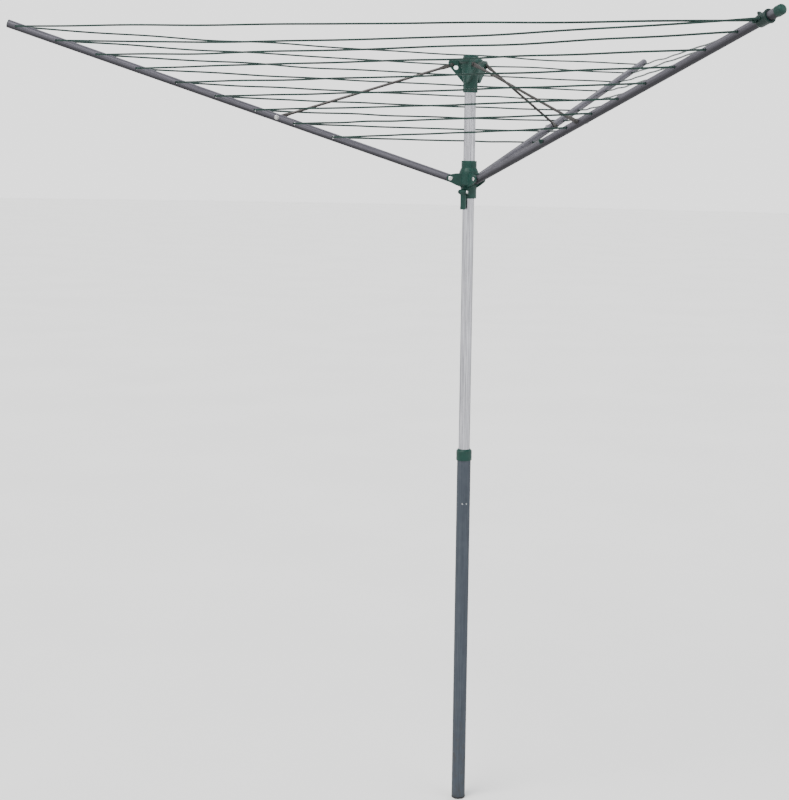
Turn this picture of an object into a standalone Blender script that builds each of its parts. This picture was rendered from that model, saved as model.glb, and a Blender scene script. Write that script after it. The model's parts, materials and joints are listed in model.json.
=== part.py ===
"""Folding rotary clothesline: two-piece mast, three arms, three struts, sliding lower hub, one line."""
import math

import bmesh
import bpy
from mathutils import Euler, Matrix, Vector

# ---- driving dimensions, metres ----
GAP = 0.0003
LOWER_R = 0.016
LOWER_WALL = 0.0012
LOWER_TOP = 0.840
STOP_Z = 0.724
DENT_R = 0.0035
DENT_DEPTH = 0.0007
DENT_TURNS = [math.radians(degrees) for degrees in (80.0, 118.0, 260.0, 298.0)]
UPPER_R = 0.013
UPPER_WALL = 0.0010
UPPER_BOTTOM = 0.7275
UPPER_TOP = 1.7360
HUB_TOP = 1.7470

PIVOT_R = 0.042
OPEN_ANGLE = math.radians(18.0)
LINK = 0.411
RUNNER_Z = 1.4725
STRUT_Z = RUNNER_Z + 2.0 * LINK * math.sin(OPEN_ANGLE)

ARM_R = 0.009
ARM_WALL = 0.0010
ARM_BACK = 0.012
ARM_LENGTH = 1.029
HOLE_R = 0.0030
HOLE_FIRST = 1.0097
HOLE_PITCH = 0.0914
HOLE_COUNT = 9

STRUT_R = 0.0030
STRUT_FLAT_T = 0.0030
STRUT_FLAT_W = 0.0090
STRUT_FLAT_L = 0.030
STRUT_HUB_Y = -0.0190
STRUT_ARM_Y = -(ARM_R + 0.0006 + STRUT_FLAT_T / 2.0)
ROD_ARM_Y = -(ARM_R + 0.0010 + STRUT_R)

PIN_R = 0.0025
PIN_HOLE_R = 0.0026
ROOT_PIN_R = 0.0030
ROOT_PIN_HOLE_R = 0.0031

LINE_R = 0.0020
LINE_EXIT = 0.0125
LINE_SAG = 0.012

TENSIONER_S = 0.9830
TENSIONER_L = 0.030
TENSIONER_SIDE = 0.0158

MAST_STEPS = 24
ARM_STEPS = 16
PIN_STEPS = 16

ARMS = (("a", 0.0), ("b", math.radians(120.0)), ("c", math.radians(240.0)))

GREEN = (0.022, 0.085, 0.066, 1.0)


def clear_scene():
    for obj in list(bpy.data.objects):
        bpy.data.objects.remove(obj, do_unlink=True)


def collection(name):
    found = bpy.data.collections.new(name)
    bpy.context.scene.collection.children.link(found)
    return found


def material(name, colour, roughness, metallic):
    mat = bpy.data.materials.new(name)
    mat.use_nodes = True
    shader = mat.node_tree.nodes["Principled BSDF"]
    shader.inputs["Base Color"].default_value = colour
    shader.inputs["Roughness"].default_value = roughness
    shader.inputs["Metallic"].default_value = metallic
    mat.diffuse_color = colour
    return mat


clear_scene()
PARTS = collection("rotary_clothesline")
CUTTERS = collection("cutters")


def add(name, mesh, mat, target=None):
    obj = bpy.data.objects.new(name, mesh)
    (target or PARTS).objects.link(obj)
    if mat is not None:
        mesh.materials.append(mat)
    return obj


def smooth(obj, angle=math.radians(35.0)):
    mesh = obj.data
    for face in mesh.polygons:
        face.use_smooth = True
    bm = bmesh.new()
    bm.from_mesh(mesh)
    for edge in bm.edges:
        if len(edge.link_faces) == 2 and edge.calc_face_angle(0.0) > angle:
            edge.smooth = False
    bm.to_mesh(mesh)
    bm.free()


def turned_mesh(name, profile, steps):
    """Closed profile of (radius, height) pairs turned about Z; points on the axis are shared."""
    bm = bmesh.new()
    rings = []
    for radius, height in profile:
        if radius < 1e-7:
            rings.append([bm.verts.new((0.0, 0.0, height))])
            continue
        ring = []
        for i in range(steps):
            turn = 2.0 * math.pi * i / steps
            ring.append(bm.verts.new((radius * math.cos(turn), radius * math.sin(turn), height)))
        rings.append(ring)
    for first, second in zip(rings, rings[1:] + rings[:1]):
        if len(first) == 1 and len(second) == 1:
            continue
        for i in range(steps):
            j = (i + 1) % steps
            if len(first) == 1:
                bm.faces.new((first[0], second[i], second[j]))
            elif len(second) == 1:
                bm.faces.new((first[i], second[0], first[j]))
            else:
                bm.faces.new((first[i], second[i], second[j], first[j]))
    bmesh.ops.recalc_face_normals(bm, faces=bm.faces)
    mesh = bpy.data.meshes.new(name)
    bm.to_mesh(mesh)
    bm.free()
    return mesh


def turned(name, profile, mat, steps=MAST_STEPS, target=None):
    obj = add(name, turned_mesh(name, profile, steps), mat, target)
    smooth(obj)
    return obj


def tube_profile(outer, inner, bottom, top):
    return [(outer, top), (outer, bottom), (inner, bottom), (inner, top)]


def add_cylinder(bm, start, end, radius, segments=PIN_STEPS, radius_end=None):
    start, end = Vector(start), Vector(end)
    along = end - start
    turn = along.to_track_quat("Z", "Y").to_matrix().to_4x4()
    place = Matrix.Translation((start + end) / 2.0) @ turn
    bmesh.ops.create_cone(bm, cap_ends=True, segments=segments, radius1=radius,
                          radius2=radius if radius_end is None else radius_end,
                          depth=along.length, matrix=place)


def add_box(bm, low, high):
    low, high = Vector(low), Vector(high)
    size = high - low
    scale = Matrix.Diagonal((size.x, size.y, size.z, 1.0))
    bmesh.ops.create_cube(bm, size=1.0, matrix=Matrix.Translation((low + high) / 2.0) @ scale)


def turn_new(bm, old, turn):
    """Turn the vertices that aren't in old about Z."""
    fresh = [v for v in bm.verts if v not in old]
    bmesh.ops.rotate(bm, verts=fresh, cent=(0.0, 0.0, 0.0), matrix=Matrix.Rotation(turn, 3, "Z"))


def plate(bm, outline, low, high):
    """Plate of an (x, z) outline, from y = low to y = high."""
    near = [bm.verts.new((x, low, z)) for x, z in outline]
    far = [bm.verts.new((x, high, z)) for x, z in outline]
    bm.faces.new(near)
    bm.faces.new(list(reversed(far)))
    count = len(outline)
    for i in range(count):
        j = (i + 1) % count
        bm.faces.new((near[i], far[i], far[j], near[j]))


def mesh_from(name, build):
    bm = bmesh.new()
    build(bm)
    bmesh.ops.recalc_face_normals(bm, faces=bm.faces)
    mesh = bpy.data.meshes.new(name)
    bm.to_mesh(mesh)
    bm.free()
    return mesh


def boolean(obj, tool, operation):
    tool.hide_render = True
    tool.display_type = "WIRE"
    mod = obj.modifiers.new(tool.name, "BOOLEAN")
    mod.operation = operation
    mod.solver = "EXACT"
    mod.object = tool
    return mod


def tool(name, build):
    return add("cutter_" + name, mesh_from(name, build), None, CUTTERS)


def baked(obj):
    """The object with its modifiers made permanent and its surfaces smooth."""
    bpy.context.view_layer.update()
    evaluated = obj.evaluated_get(bpy.context.evaluated_depsgraph_get())
    mesh = bpy.data.meshes.new_from_object(evaluated)
    obj.modifiers.clear()
    old = obj.data
    obj.data = mesh
    bpy.data.meshes.remove(old)
    bm = bmesh.new()
    bm.from_mesh(obj.data)
    bmesh.ops.remove_doubles(bm, verts=bm.verts, dist=1e-6)
    bmesh.ops.dissolve_degenerate(bm, edges=bm.edges, dist=1e-6)
    bm.to_mesh(obj.data)
    bm.free()
    smooth(obj)
    return obj


def arc(cx, cz, radius, start_deg, end_deg, count):
    points = []
    for i in range(count + 1):
        turn = math.radians(start_deg + (end_deg - start_deg) * i / count)
        points.append((cx + radius * math.cos(turn), cz + radius * math.sin(turn)))
    return points


# ---- materials ----
MAT_LOWER = material("lower_tube_steel", (0.16, 0.18, 0.21, 1.0), 0.38, 0.9)
MAT_UPPER = material("upper_tube_steel", (0.55, 0.55, 0.57, 1.0), 0.28, 1.0)
MAT_ARM = material("arm_tube_alloy", (0.40, 0.40, 0.44, 1.0), 0.36, 0.95)
MAT_STRUT = material("strut_steel", (0.24, 0.24, 0.26, 1.0), 0.40, 0.95)
MAT_PIN = material("pin_steel", (0.72, 0.72, 0.72, 1.0), 0.25, 1.0)
MAT_GREEN = material("green_plastic", GREEN, 0.42, 0.0)
MAT_BLACK = material("black_plastic", (0.03, 0.035, 0.035, 1.0), 0.5, 0.0)
MAT_LINE = material("line_pvc", (0.02, 0.10, 0.075, 1.0), 0.38, 0.0)


# ---- mast ----
def lower_tube():
    inner = LOWER_R - LOWER_WALL
    obj = turned("mast_lower_tube", tube_profile(LOWER_R, inner, 0.004, LOWER_TOP), MAT_LOWER)

    def dents(bm):
        for turn in DENT_TURNS:
            reach = LOWER_R - DENT_DEPTH + DENT_R
            place = Matrix.Translation((reach * math.cos(turn), reach * math.sin(turn), STOP_Z - 0.004))
            bmesh.ops.create_uvsphere(bm, u_segments=8, v_segments=6, radius=DENT_R, matrix=place)

    boolean(obj, tool("dents", dents), "DIFFERENCE")
    baked(obj)


def foot_plug():
    inner = LOWER_R - LOWER_WALL - GAP
    profile = [(0.0, 0.028), (inner - 0.0030, 0.028), (inner, 0.024), (inner, 0.0037),
               (LOWER_R + 0.0005, 0.0037), (LOWER_R + 0.0005, 0.0015), (LOWER_R - 0.001, 0.0), (0.0, 0.0)]
    turned("foot_plug", profile, MAT_BLACK)


def mast_collar():
    """Plastic bush that closes the ring gap between the two tubes, with a lip over the lower tube's end."""
    inner = UPPER_R + 0.0003
    seat = LOWER_R - LOWER_WALL - GAP
    lip = LOWER_R + 0.0022
    skirt = LOWER_TOP - 0.018
    profile = [(inner, LOWER_TOP + 0.008), (LOWER_R - 0.001, LOWER_TOP + 0.008), (lip, LOWER_TOP + 0.004),
               (lip, skirt), (LOWER_R + GAP, skirt), (LOWER_R + GAP, LOWER_TOP + GAP),
               (seat, LOWER_TOP + GAP), (seat, LOWER_TOP - 0.034), (inner, LOWER_TOP - 0.034)]
    turned("mast_collar", profile, MAT_GREEN)


def mast_stop():
    """Ring pressed between the dents inside the lower tube; the upper tube stands and turns on it."""
    outer = LOWER_R - LOWER_WALL - GAP
    turned("mast_stop", tube_profile(outer, 0.0085, STOP_Z - 0.010, STOP_Z), MAT_PIN)


def upper_tube():
    turned("mast_upper_tube", tube_profile(UPPER_R, UPPER_R - UPPER_WALL, UPPER_BOTTOM, UPPER_TOP), MAT_UPPER)


def bearing_plug():
    inner = UPPER_R - UPPER_WALL - GAP
    profile = [(0.0, UPPER_BOTTOM + 0.026), (inner - 0.002, UPPER_BOTTOM + 0.026),
               (inner, UPPER_BOTTOM + 0.022), (inner, UPPER_BOTTOM - GAP), (UPPER_R, UPPER_BOTTOM - GAP),
               (UPPER_R, STOP_Z + GAP), (0.0, STOP_Z + GAP)]
    turned("bearing_plug", profile, MAT_BLACK)


# ---- top hub ----
HUB_BOTTOM = HUB_TOP - 0.0820
EAR_NEAR = -0.0120
EAR_FAR = -0.0171


def top_hub():
    profile = [(0.0, HUB_TOP), (0.0160, HUB_TOP), (0.0176, HUB_TOP - 0.0018), (0.0180, HUB_TOP - 0.0068),
               (0.0265, HUB_TOP - 0.0078), (0.0275, HUB_TOP - 0.0095), (0.0275, HUB_TOP - 0.0140),
               (0.0225, HUB_TOP - 0.0185), (0.0205, HUB_TOP - 0.0360), (0.0180, HUB_TOP - 0.0500),
               (0.0162, HUB_TOP - 0.0620), (0.0158, HUB_BOTTOM), (UPPER_R + GAP, HUB_BOTTOM),
               (UPPER_R + GAP, UPPER_TOP + GAP), (0.0, UPPER_TOP + GAP)]
    obj = turned("top_hub", profile, MAT_GREEN)
    z = STRUT_Z
    outline = [(0.010, HUB_TOP - 0.0090), (0.044, HUB_TOP - 0.0095)]
    outline += arc(PIVOT_R + 0.0015, z + 0.0045, 0.0072, 70.0, -60.0, 5)
    outline += [(0.0450, z - 0.0072), (0.0240, z - 0.0310), (0.0160, z - 0.0400), (0.010, z - 0.0400)]

    def ears(bm):
        for key, turn in ARMS:
            old = set(bm.verts)
            plate(bm, outline, EAR_FAR, EAR_NEAR)
            turn_new(bm, old, turn)

    def openings(bm):
        for key, turn in ARMS:
            old = set(bm.verts)
            x, low = 0.0330, z - 0.0058
            add_cylinder(bm, (x, EAR_FAR - 0.003, low), (x, -0.0040, low), 0.0050, 12)
            add_cylinder(bm, (PIVOT_R, EAR_FAR - 0.003, z), (PIVOT_R, EAR_NEAR + 0.003, z), PIN_HOLE_R)
            turn_new(bm, old, turn)

    def shelves(bm):
        for key, turn in ARMS:
            old = set(bm.verts)
            add_box(bm, (0.0180, EAR_FAR + 0.0003, HUB_TOP - 0.0137), (0.0292, -0.0030, HUB_TOP - 0.0098))
            turn_new(bm, old, turn)

    boolean(obj, tool("hub_ears", ears), "UNION")
    boolean(obj, tool("hub_shelves", shelves), "UNION")
    boolean(obj, tool("hub_openings", openings), "DIFFERENCE")

    def ribs(bm):
        for i in range(10):
            turn = 2.0 * math.pi * (i + 0.3) / 10
            x, y = 0.0160 * math.cos(turn), 0.0160 * math.sin(turn)
            add_cylinder(bm, (x, y, HUB_BOTTOM + 0.0008), (x, y, HUB_BOTTOM + 0.0215), 0.0012, 5)

    boolean(obj, tool("hub_ribs", ribs), "UNION")
    baked(obj)


def hub_pin(key, turn):
    """Rivet through the hub's ear and the strut's flattened end."""
    near = EAR_NEAR + GAP
    far = STRUT_HUB_Y - STRUT_FLAT_T / 2.0 - GAP
    ends = [(0.0, near + 0.0016), (0.0030, near + 0.0016), (0.0044, near + 0.0006), (0.0044, near),
            (PIN_R, near), (PIN_R, far), (0.0044, far), (0.0044, far - 0.0008), (0.0028, far - 0.0018),
            (0.0, far - 0.0018)]
    place_pin("hub_pin_" + key, ends, turn, PIVOT_R, STRUT_Z)


def place_pin(name, ends, turn, radius, height, mat=None):
    """A turned pin lying along the tangent at the given radius and height."""
    obj = turned(name, ends, mat or MAT_PIN, PIN_STEPS)
    obj.data.transform(Matrix.Rotation(math.radians(-90.0), 4, "X"))
    obj.location = (radius * math.cos(turn), radius * math.sin(turn), height)
    obj.rotation_euler = Euler((0.0, 0.0, turn))
    return obj


# ---- struts ----
def strut(key, turn):
    """Rod with two flattened, drilled ends; its origin is the pivot in the hub, it runs along its own X."""
    name = "strut_" + key
    half_t = STRUT_FLAT_T / 2.0
    lean = (ROD_ARM_Y - STRUT_HUB_Y) / (LINK - 2.0 * STRUT_FLAT_L)

    def flat_outline(centre, outward):
        side = 1.0 if outward > 0 else -1.0
        tip = arc(centre, 0.0, STRUT_FLAT_W / 2.0, 90.0, 270.0, 8)
        if side > 0:
            tip = [(2.0 * centre - x, z) for x, z in reversed(tip)]
        inner = centre - side * (STRUT_FLAT_L - 0.008)
        neck = centre - side * STRUT_FLAT_L
        half_w = side * STRUT_FLAT_W / 2.0
        half_neck = side * 0.0026
        return tip + [(inner, half_w), (neck, half_neck), (neck, -half_neck), (inner, -half_w)]

    def flats(bm):
        plate(bm, flat_outline(0.0, -1), STRUT_HUB_Y - half_t, STRUT_HUB_Y + half_t)

    def arm_flat(bm):
        plate(bm, flat_outline(LINK, 1), STRUT_ARM_Y - half_t, STRUT_ARM_Y + half_t)

    def rod(bm):
        start = Vector((STRUT_FLAT_L - 0.006, STRUT_HUB_Y - lean * 0.006, 0.0))
        end = Vector((LINK - STRUT_FLAT_L + 0.006, ROD_ARM_Y + lean * 0.006, 0.0))
        along = (end - start).normalized()
        add_cylinder(bm, start - along * 0.004, start + along * 0.003, 0.0012, 12, STRUT_R)
        add_cylinder(bm, start + along * 0.003, end - along * 0.003, STRUT_R, 12)
        add_cylinder(bm, end - along * 0.003, end + along * 0.004, STRUT_R, 12, 0.0012)
        bmesh.ops.remove_doubles(bm, verts=bm.verts, dist=1e-6)
        inner = [f for f in bm.faces if len(f.verts) == 12 and STRUT_FLAT_L - 0.004 < f.calc_center_median().x
                 < LINK - STRUT_FLAT_L + 0.004]
        bmesh.ops.delete(bm, geom=inner, context="FACES_ONLY")

    def holes(bm):
        add_cylinder(bm, (0.0, STRUT_HUB_Y - 0.004, 0.0), (0.0, STRUT_HUB_Y + 0.004, 0.0), PIN_HOLE_R)
        add_cylinder(bm, (LINK, STRUT_ARM_Y - 0.004, 0.0), (LINK, STRUT_ARM_Y + 0.004, 0.0), PIN_HOLE_R)

    obj = add(name, mesh_from(name, rod), MAT_STRUT)
    parts = [(tool(name + "_hub_flat", flats), "UNION"), (tool(name + "_arm_flat", arm_flat), "UNION"),
             (tool(name + "_holes", holes), "DIFFERENCE")]
    for part, operation in parts:
        boolean(obj, part, operation)
    baked(obj)
    obj.location = (PIVOT_R * math.cos(turn), PIVOT_R * math.sin(turn), STRUT_Z)
    obj.rotation_euler = Euler((0.0, OPEN_ANGLE, turn))


# ---- arms ----
def place_on_arm(obj, turn):
    """Arm pieces are made along X with the root pivot as origin."""
    obj.location = (PIVOT_R * math.cos(turn), PIVOT_R * math.sin(turn), RUNNER_Z)
    obj.rotation_euler = Euler((0.0, -OPEN_ANGLE, turn))
    return obj


def along_x(mesh):
    mesh.transform(Matrix.Rotation(math.radians(90.0), 4, "Y"))
    return mesh


def hole_station(number, key="a"):
    if number == 1 and key == "b":
        return TENSIONER_S
    return HOLE_FIRST - (number - 1) * HOLE_PITCH


def arm_tube(key, turn):
    name = "arm_tube_" + key
    mesh = along_x(turned_mesh(name, tube_profile(ARM_R, ARM_R - ARM_WALL, -ARM_BACK, ARM_LENGTH), ARM_STEPS))
    obj = add(name, mesh, MAT_ARM)

    def holes(bm):
        for number in range(1, HOLE_COUNT + 1):
            x = hole_station(number, key)
            add_cylinder(bm, (x, -0.012, 0.0), (x, 0.012, 0.0), HOLE_R, 8)

    def pin_holes(bm):
        add_cylinder(bm, (LINK, -0.012, 0.0), (LINK, 0.012, 0.0), PIN_HOLE_R, 12)
        add_cylinder(bm, (0.0, -0.012, 0.0), (0.0, 0.012, 0.0), ROOT_PIN_HOLE_R)

    boolean(obj, tool(name + "_line_holes", holes), "DIFFERENCE")
    boolean(obj, tool(name + "_pin_holes", pin_holes), "DIFFERENCE")
    baked(obj)
    place_on_arm(obj, turn)


def arm_root(key, turn):
    """Plastic sleeve inside the arm's inner end; it keeps the thin tube from crushing on its pivot pin."""
    name = "arm_root_" + key
    outer = ARM_R - ARM_WALL - GAP
    profile = [(0.0, 0.020), (outer, 0.020), (outer, -ARM_BACK - GAP), (ARM_R - 0.0006, -ARM_BACK - GAP),
               (ARM_R - 0.0016, -ARM_BACK - 0.0022), (0.0, -ARM_BACK - 0.0022)]
    obj = add(name, along_x(turned_mesh(name, profile, ARM_STEPS)), MAT_BLACK)

    def hole(bm):
        add_cylinder(bm, (0.0, -0.012, 0.0), (0.0, 0.012, 0.0), ROOT_PIN_HOLE_R)

    boolean(obj, tool(name + "_hole", hole), "DIFFERENCE")
    baked(obj)
    place_on_arm(obj, turn)


def arm_tip(key, turn):
    """End plug; the arm with the tensioner has a domed cap over its end, the others a thin-rimmed plug."""
    name = "arm_tip_" + key
    inner = ARM_R - ARM_WALL - GAP
    end = ARM_LENGTH
    if key == "b":
        rim = end - 0.0125
        profile = [(0.0, end + 0.0050), (0.0050, end + 0.0044), (0.0080, end + 0.0026),
                   (0.0098, end - 0.0004), (0.0102, rim), (ARM_R + GAP, rim),
                   (ARM_R + GAP, end + GAP), (0.0, end + GAP)]
    else:
        rim = ARM_R + 0.0003
        profile = [(0.0, end + 0.0006), (0.0062, end + 0.0006), (0.0068, end + 0.0018),
                   (ARM_R - 0.0003, end + 0.0018), (rim, end + 0.0010), (rim, end + GAP),
                   (inner, end + GAP), (inner, end - 0.0140), (0.0, end - 0.0140)]
    obj = add(name, along_x(turned_mesh(name, profile, ARM_STEPS)), MAT_GREEN)
    smooth(obj)
    place_on_arm(obj, turn)


def arm_rivet(key, turn):
    """Shouldered bolt through strut and arm, closed by a domed nut of its own material on the far side."""
    name = "arm_rivet_" + key
    head = STRUT_ARM_Y - STRUT_FLAT_T / 2.0 - GAP
    nut = ARM_R + GAP
    profile = [(0.0, nut + 0.0100), (0.0020, nut + 0.0094), (0.0036, nut + 0.0076), (0.0042, nut + 0.0050),
               (0.0042, nut + 0.0012), (0.0052, nut + 0.0012), (0.0052, nut), (PIN_R, nut), (PIN_R, head),
               (0.0046, head), (0.0046, head - 0.0008), (0.0030, head - 0.0018), (0.0, head - 0.0018)]
    mesh = turned_mesh(name, profile, PIN_STEPS)
    mesh.transform(Matrix.Rotation(math.radians(-90.0), 4, "X"))
    mesh.transform(Matrix.Translation((LINK, 0.0, 0.0)))
    obj = add(name, mesh, MAT_PIN)
    smooth(obj)
    place_on_arm(obj, turn)


def line_tensioner(turn):
    """Collar near one arm's tip that takes the pull of the outer ring; it has a small upright horn."""
    name = "line_tensioner"
    low = TENSIONER_S - TENSIONER_L / 2.0
    high = TENSIONER_S + TENSIONER_L / 2.0
    bore = ARM_R + GAP
    profile = [(bore, high), (0.0128, high), (0.0136, high - 0.0008), (0.0136, high - 0.0036),
               (0.0120, high - 0.0052), (0.0118, low + 0.0020), (0.0108, low), (bore, low)]
    obj = add(name, along_x(turned_mesh(name, profile, ARM_STEPS)), MAT_GREEN)

    def horn(bm):
        outline = [(low + 0.0015, 0.0100), (low + 0.0100, 0.0100), (low + 0.0075, 0.0145),
                   (low + 0.0055, 0.0172), (low + 0.0025, 0.0176), (low + 0.0008, 0.0160)]
        plate(bm, outline, -0.0030, 0.0030)

    def hole(bm):
        add_cylinder(bm, (TENSIONER_S, -0.016, 0.0), (TENSIONER_S, 0.016, 0.0), HOLE_R, 8)

    boolean(obj, tool("tensioner_horn", horn), "UNION")
    boolean(obj, tool("tensioner_hole", hole), "DIFFERENCE")
    baked(obj)
    place_on_arm(obj, turn)


# ---- lower hub ----
CHEEK_IN = ARM_R + 0.0006
CHEEK_OUT = CHEEK_IN + 0.0042
LEVER_TURN = math.radians(60.0)
LEVER_R = 0.0270
LEVER_Z = RUNNER_Z - 0.0300


def runner():
    z = RUNNER_Z
    bore = UPPER_R + 0.0005
    profile = [(0.0172, z + 0.0400), (0.0176, z + 0.0380), (0.0176, z + 0.0240), (0.0215, z + 0.0160),
               (0.0225, z + 0.0100), (0.0225, z - 0.0140), (0.0190, z - 0.0200), (0.0178, z - 0.0260),
               (0.0178, z - 0.0430), (0.0172, z - 0.0450), (bore, z - 0.0450), (bore, z + 0.0400)]
    obj = turned("runner_hub", profile, MAT_GREEN)
    outline = [(0.0165, z + 0.0120), (0.0300, z + 0.0110)]
    outline += arc(PIVOT_R, z, 0.0085, 75.0, -75.0, 7)
    outline += [(0.0300, z - 0.0150), (0.0165, z - 0.0200)]

    for key, turn in ARMS:
        def cheeks(bm):
            plate(bm, outline, -CHEEK_OUT, -CHEEK_IN)
            plate(bm, outline, CHEEK_IN, CHEEK_OUT)

        def bridge(bm):
            add_box(bm, (0.0150, -CHEEK_OUT + 0.0007, z - 0.0163), (0.0247, CHEEK_OUT - 0.0007, z + 0.0107))

        def pin_hole(bm):
            add_cylinder(bm, (PIVOT_R, -0.020, z), (PIVOT_R, 0.020, z), ROOT_PIN_HOLE_R)

        for label, build, operation in (("bridge", bridge, "UNION"), ("cheeks", cheeks, "UNION"),
                                        ("hole", pin_hole, "DIFFERENCE")):
            part = tool("runner_" + label + "_" + key, build)
            part.rotation_euler = Euler((0.0, 0.0, turn))
            boolean(obj, part, operation)

    def lugs(bm):
        outline_lug = [(0.0155, LEVER_Z + 0.0060), (LEVER_R, LEVER_Z + 0.0050)]
        outline_lug += arc(LEVER_R, LEVER_Z, 0.0050, 60.0, -60.0, 5)
        outline_lug += [(LEVER_R, LEVER_Z - 0.0050), (0.0155, LEVER_Z - 0.0070)]
        plate(bm, outline_lug, -0.0100, -0.0066)
        plate(bm, outline_lug, 0.0066, 0.0100)

    def lever_hole(bm):
        add_cylinder(bm, (LEVER_R, -0.012, LEVER_Z), (LEVER_R, 0.012, LEVER_Z), 0.0021)

    for label, build, operation in (("lugs", lugs, "UNION"), ("lever_hole", lever_hole, "DIFFERENCE")):
        part = tool("runner_" + label, build)
        part.rotation_euler = Euler((0.0, 0.0, LEVER_TURN))
        boolean(obj, part, operation)
    baked(obj)


def runner_pin(key, turn):
    outer = CHEEK_OUT + GAP
    profile = [(0.0, outer + 0.0016), (0.0034, outer + 0.0016), (0.0050, outer + 0.0006), (0.0050, outer),
               (ROOT_PIN_R, outer), (ROOT_PIN_R, -outer), (0.0050, -outer), (0.0050, -outer - 0.0006),
               (0.0034, -outer - 0.0016), (0.0, -outer - 0.0016)]
    place_pin("runner_pin_" + key, profile, turn, PIVOT_R, RUNNER_Z)


def runner_lever():
    """Cam lever that grips the upper tube at rest and swings out to let the lower hub slide."""
    name = "runner_lever"
    face = UPPER_R + 0.0056 - LEVER_R

    def body(bm):
        outline = [(face, 0.0040), (face, -0.0035), (face + 0.0030, -0.0080), (face + 0.0030, -0.0300),
                   (face + 0.0055, -0.0380), (face + 0.0100, -0.0400), (face + 0.0090, -0.0300),
                   (face + 0.0090, -0.0090), (0.0048, -0.0010), (0.0036, 0.0036), (0.0, 0.0048)]
        plate(bm, outline, -0.0062, 0.0062)

    def hole(bm):
        add_cylinder(bm, (0.0, -0.010, 0.0), (0.0, 0.010, 0.0), 0.0021)

    obj = add(name, mesh_from(name, body), MAT_GREEN)
    boolean(obj, tool(name + "_hole", hole), "DIFFERENCE")
    baked(obj)
    obj.location = (LEVER_R * math.cos(LEVER_TURN), LEVER_R * math.sin(LEVER_TURN), LEVER_Z)
    obj.rotation_euler = Euler((0.0, 0.0, LEVER_TURN))


def lever_pin():
    profile = [(0.0, 0.0118), (0.0032, 0.0118), (0.0036, 0.0103), (0.0020, 0.0103), (0.0020, -0.0103),
               (0.0036, -0.0103), (0.0032, -0.0118), (0.0, -0.0118)]
    place_pin("lever_pin", profile, LEVER_TURN, LEVER_R, LEVER_Z)


# ---- line ----
def on_arm(turn, station, side=0.0, up=0.0):
    radial = Vector((math.cos(turn), math.sin(turn), 0.0))
    tangent = Vector((-math.sin(turn), math.cos(turn), 0.0))
    along = radial * math.cos(OPEN_ANGLE) + Vector((0.0, 0.0, math.sin(OPEN_ANGLE)))
    normal = Vector((0.0, 0.0, math.cos(OPEN_ANGLE))) - radial * math.sin(OPEN_ANGLE)
    root = radial * PIVOT_R + Vector((0.0, 0.0, RUNNER_Z))
    return root + along * station + tangent * side + normal * up


def line_route():
    """One spiral: tensioner, then arms a, c, b in turn through holes one to nine, ending on arm b."""
    turns = dict(ARMS)
    points = [on_arm(turns["b"], TENSIONER_S - 0.0110, -TENSIONER_SIDE)]
    for number in range(1, HOLE_COUNT + 1):
        for key in ("a", "c", "b"):
            side = TENSIONER_SIDE if key == "b" and number == 1 else LINE_EXIT
            entry = on_arm(turns[key], hole_station(number, key), side)
            leave = on_arm(turns[key], hole_station(number, key), -side)
            span = (entry - points[-1]).length
            middle = (entry + points[-1]) / 2.0
            middle.z -= LINE_SAG * span
            points += [middle, entry, leave]
    return points


def clothesline():
    points = line_route()
    curve = bpy.data.curves.new("clothesline", "CURVE")
    curve.dimensions = "3D"
    curve.bevel_depth = LINE_R
    curve.bevel_resolution = 1
    curve.use_fill_caps = True
    spline = curve.splines.new("POLY")
    spline.points.add(len(points) - 1)
    for point, place in zip(spline.points, points):
        point.co = (place.x, place.y, place.z, 1.0)
    source = bpy.data.objects.new("clothesline_path", curve)
    CUTTERS.objects.link(source)
    bpy.context.view_layer.update()
    evaluated = source.evaluated_get(bpy.context.evaluated_depsgraph_get())
    mesh = bpy.data.meshes.new_from_object(evaluated)
    bpy.data.objects.remove(source, do_unlink=True)
    mesh.name = "clothesline"
    bm = bmesh.new()
    bm.from_mesh(mesh)
    bmesh.ops.remove_doubles(bm, verts=bm.verts, dist=1e-6)
    bmesh.ops.recalc_face_normals(bm, faces=bm.faces)
    bm.to_mesh(mesh)
    bm.free()
    obj = add("clothesline", mesh, None)
    mesh.materials.clear()
    mesh.materials.append(MAT_LINE)
    for face in mesh.polygons:
        face.use_smooth = True
    return obj


def build():
    lower_tube()
    foot_plug()
    mast_collar()
    mast_stop()
    upper_tube()
    bearing_plug()
    top_hub()
    runner()
    runner_lever()
    lever_pin()
    for key, turn in ARMS:
        hub_pin(key, turn)
        strut(key, turn)
        arm_tube(key, turn)
        arm_root(key, turn)
        arm_tip(key, turn)
        arm_rivet(key, turn)
        runner_pin(key, turn)
    turns = dict(ARMS)
    line_tensioner(turns["b"])
    clothesline()


build()
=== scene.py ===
"""Looks of the folding rotary clothesline: fine shapes, line, materials, stage and camera."""
import json
import math
import random

import bmesh
import bpy
from mathutils import Euler, Matrix, Vector

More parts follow.
